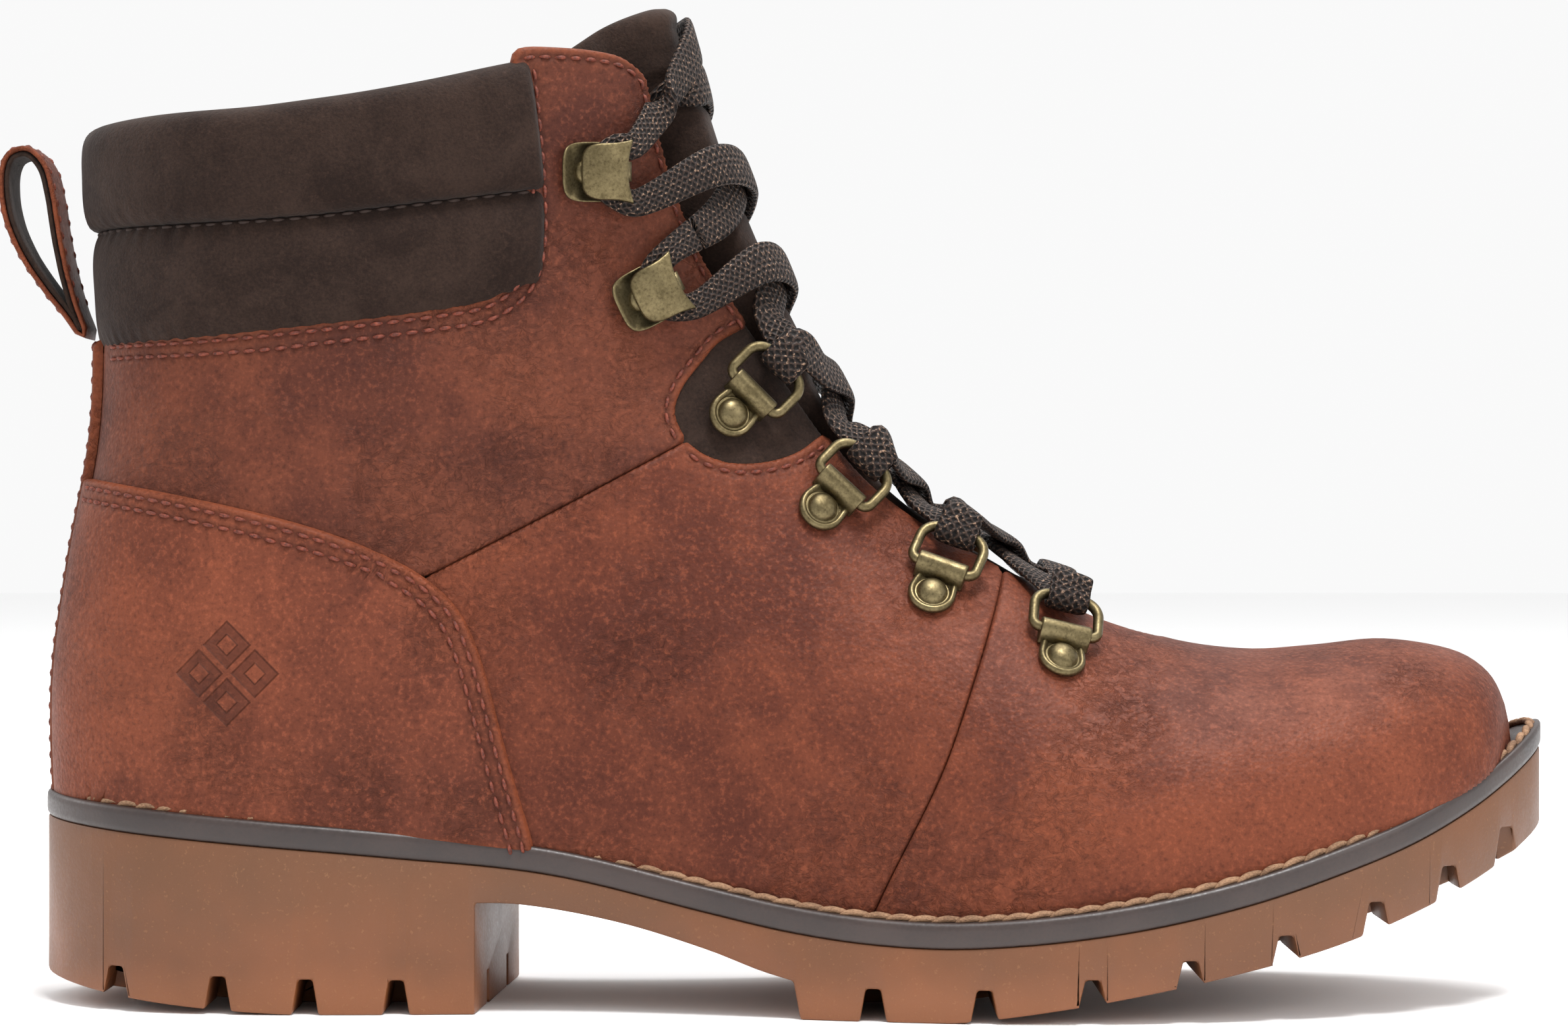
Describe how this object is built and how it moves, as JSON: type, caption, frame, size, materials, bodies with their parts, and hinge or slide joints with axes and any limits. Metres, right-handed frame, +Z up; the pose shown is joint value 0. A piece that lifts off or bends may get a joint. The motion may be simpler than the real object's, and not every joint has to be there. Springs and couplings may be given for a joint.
{
  "type": "laced leather hiking boot",
  "caption": "Ankle-high lace-up leather boot for the right foot, with a padded collar, lace rings and speed hooks, a heel pull loop and a deeply lugged rubber sole.",
  "frame": {"origin": "centre of the boot's overall footprint, at the ground", "axes": "+X from heel to toe, +Y to the inner side of the foot, +Z up"},
  "size_m": [0.2916, 0.0948, 0.1878],
  "materials": {
    "gum_rubber": "matt gum rubber",
    "dark_rubber": "matt dark rubber band",
    "steel": "plain strip",
    "board": "fibre board",
    "footbed": "textile-topped foam",
    "brown_leather": "oiled pull-up leather",
    "dark_suede": "nubuck",
    "collar_leather": "soft padded leather",
    "insulation": "thin fleece insulation",
    "lining": "brushed textile",
    "lace": "flat braid",
    "brass": "antique brass"
  },
  "bodies": {
    "boot": {"outsole": "gum_rubber", "midsole": "dark_rubber", "shank": "steel", "insole_board": "board", "footbed": "footbed", "vamp": "brown_leather", "quarter_lateral": "brown_leather", "shaft_panel_lateral": "brown_leather", "flex_insert_lateral": "dark_suede", "heel_overlay_lateral": "brown_leather", "quarter_medial": "brown_leather", "shaft_panel_medial": "brown_leather", "flex_insert_medial": "dark_suede", "heel_overlay_medial": "brown_leather", "back_stay": "brown_leather", "toe_puff": "board", "heel_counter": "board", "insulation_lateral": "insulation", "insulation_medial": "insulation", "lining": "lining", "collar_roll_lower": "dark_suede", "collar_roll_upper": "collar_leather", "tongue": "dark_suede", "lace": "lace", "aglet_1": "brass", "aglet_2": "brass", "ring_clip_lateral_1": "brass", "clip_rivet_lateral_1": "brass", "ring_clip_lateral_2": "brass", "clip_rivet_lateral_2": "brass", "ring_clip_lateral_3": "brass", "clip_rivet_lateral_3": "brass", "ring_clip_lateral_4": "brass", "clip_rivet_lateral_4": "brass", "hook_lateral_1": "brass", "hook_rivet_lateral_1": "brass", "hook_lateral_2": "brass", "hook_rivet_lateral_2": "brass", "ring_clip_medial_1": "brass", "clip_rivet_medial_1": "brass", "ring_clip_medial_2": "brass", "clip_rivet_medial_2": "brass", "ring_clip_medial_3": "brass", "clip_rivet_medial_3": "brass", "ring_clip_medial_4": "brass", "clip_rivet_medial_4": "brass", "hook_medial_1": "brass", "hook_rivet_medial_1": "brass", "hook_medial_2": "brass", "hook_rivet_medial_2": "brass"},
    "loop": {"pull_loop": "brown_leather"},
    "ring_lateral_1": {"lace_ring_lateral_1": "brass"},
    "ring_lateral_2": {"lace_ring_lateral_2": "brass"},
    "ring_lateral_3": {"lace_ring_lateral_3": "brass"},
    "ring_lateral_4": {"lace_ring_lateral_4": "brass"},
    "ring_medial_1": {"lace_ring_medial_1": "brass"},
    "ring_medial_2": {"lace_ring_medial_2": "brass"},
    "ring_medial_3": {"lace_ring_medial_3": "brass"},
    "ring_medial_4": {"lace_ring_medial_4": "brass"}
  },
  "joints": [
    {"name": "lace_ring_hinge_lateral_1", "type": "hinge", "parent": "boot", "child": "ring_lateral_1", "pos_m": [0.05366, -0.02353, 0.06938], "axis": [0.9654, 0.1147, -0.2342], "range_deg": [-3, 10], "deforming": ["lace"]},
    {"name": "lace_ring_hinge_lateral_2", "type": "hinge", "parent": "boot", "child": "ring_lateral_2", "pos_m": [0.03122, -0.01915, 0.0812], "axis": [0.9326, -0.1508, -0.328], "range_deg": [-3, 10], "deforming": ["lace"]},
    {"name": "lace_ring_hinge_lateral_3", "type": "hinge", "parent": "boot", "child": "ring_lateral_3", "pos_m": [0.01268, -0.01586, 0.09596], "axis": [0.7329, -0.0526, -0.6783], "range_deg": [-3, 10], "deforming": ["lace"]},
    {"name": "lace_ring_hinge_lateral_4", "type": "hinge", "parent": "boot", "child": "ring_lateral_4", "pos_m": [-0.00376, -0.01623, 0.11346], "axis": [0.7053, 0.059, -0.7065], "range_deg": [-3, 10], "deforming": ["lace"]},
    {"name": "lace_ring_hinge_medial_1", "type": "hinge", "parent": "boot", "child": "ring_medial_1", "pos_m": [0.05346, 0.02724, 0.06966], "axis": [-0.9834, 0.0772, 0.1641], "range_deg": [-3, 10], "deforming": ["lace"]},
    {"name": "lace_ring_hinge_medial_2", "type": "hinge", "parent": "boot", "child": "ring_medial_2", "pos_m": [0.0315, 0.02339, 0.08118], "axis": [-0.914, -0.0933, 0.3949], "range_deg": [-3, 10], "deforming": ["lace"]},
    {"name": "lace_ring_hinge_medial_3", "type": "hinge", "parent": "boot", "child": "ring_medial_3", "pos_m": [0.01269, 0.02041, 0.09598], "axis": [-0.7321, -0.0568, 0.6789], "range_deg": [-3, 10], "deforming": ["lace"]},
    {"name": "lace_ring_hinge_medial_4", "type": "hinge", "parent": "boot", "child": "ring_medial_4", "pos_m": [-0.00372, 0.02084, 0.11342], "axis": [-0.6987, 0.0775, 0.7112], "range_deg": [-3, 10], "deforming": ["lace"]},
    {"name": "pull_loop_bend", "type": "hinge", "parent": "boot", "child": "loop", "pos_m": [-0.13013, 0.00262, 0.1252], "axis": [0, 1, 0], "range_deg": [-50, 5], "stiffness_Nm_per_rad": 0.02}
  ]
}
